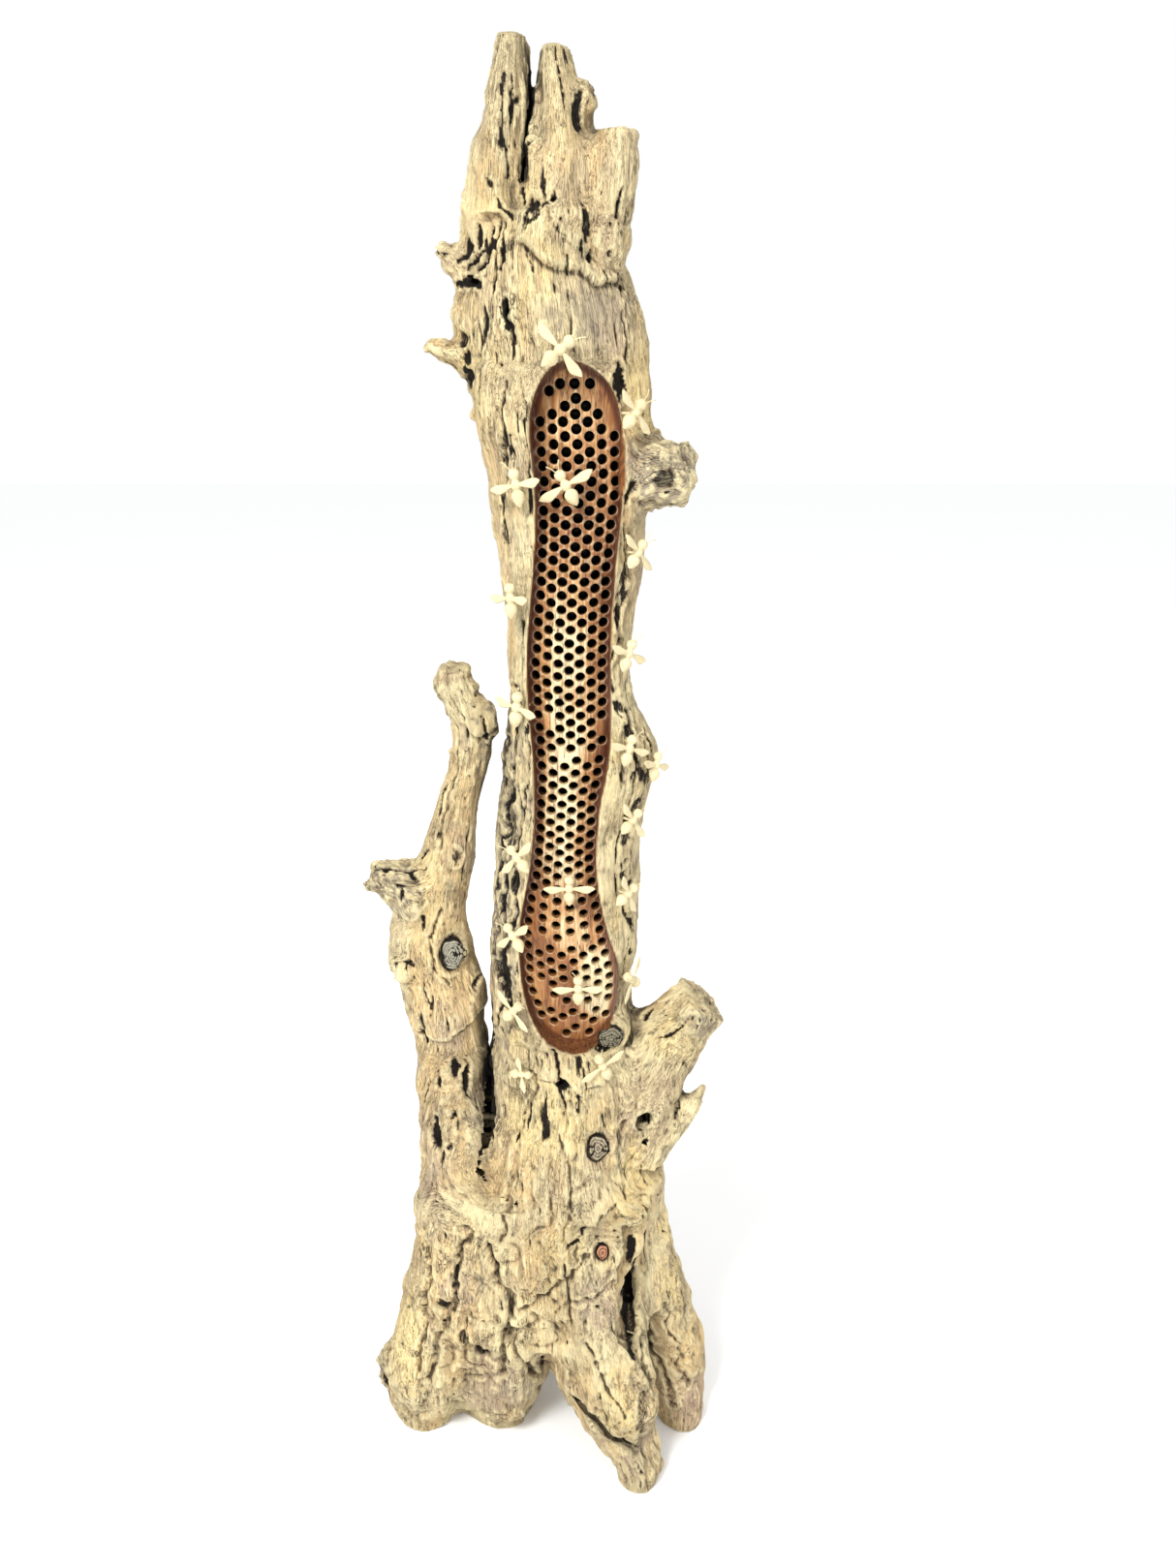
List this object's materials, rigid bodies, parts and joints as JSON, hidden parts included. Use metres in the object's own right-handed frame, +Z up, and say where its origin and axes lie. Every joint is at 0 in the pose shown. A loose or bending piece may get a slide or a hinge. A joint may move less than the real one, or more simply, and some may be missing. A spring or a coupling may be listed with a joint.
{
  "type": "insect hotel",
  "caption": "Tall weathered root stem standing on its own roots, with a long niche of drilled nest holes down the front and small carved bees on pegs.",
  "frame": {"origin": "on the floor, under the middle of the bounding box", "axes": "+Z up along the stem, -Y toward the front with the nest niche, +X to the right seen from the front"},
  "size_m": [0.4182, 0.2745, 1.526],
  "materials": {
    "weathered_wood": "bare weathered root wood, deeply grooved, matt",
    "heartwood": "freshly routed and drilled reddish heartwood, matt",
    "carved_wood": "pale carved and sanded wood, matt",
    "dead_knot": "grey cracked dead knot, matt"
  },
  "bodies": {
    "root": {"bee_01": "carved_wood", "bee_02": "carved_wood", "bee_03": "carved_wood", "bee_04": "carved_wood", "bee_05": "carved_wood", "bee_06": "carved_wood", "bee_07": "carved_wood", "bee_08": "carved_wood", "bee_09": "carved_wood", "bee_10": "carved_wood", "bee_11": "carved_wood", "bee_12": "carved_wood", "bee_13": "carved_wood", "bee_14": "carved_wood", "bee_15": "carved_wood", "bee_16": "carved_wood", "bee_17": "carved_wood", "bee_18": "carved_wood", "bee_19": "carved_wood", "bee_20": "carved_wood", "bee_antennae": "carved_wood", "bee_pegs": "carved_wood", "bee_wings_left": "carved_wood", "bee_wings_right": "carved_wood", "broken_knot": "weathered_wood", "crown_dead_knot": "dead_knot", "front_root": "weathered_wood", "heel_knob": "weathered_wood", "knot_plug": "heartwood", "left_prong": "weathered_wood", "left_root": "weathered_wood", "limb_dead_knot": "dead_knot", "limb_stub": "weathered_wood", "lower_thorn": "weathered_wood", "middle_prong": "weathered_wood", "middle_root": "weathered_wood", "nest_core": "heartwood", "nest_dead_knot": "dead_knot", "rear_right_root": "weathered_wood", "rear_root": "weathered_wood", "right_limb": "weathered_wood", "right_stub": "weathered_wood", "root_crown": "weathered_wood", "side_limb": "weathered_wood", "spike": "weathered_wood", "top_knot": "weathered_wood", "trunk": "weathered_wood", "upper_thorn": "weathered_wood"}
  },
  "joints": []
}
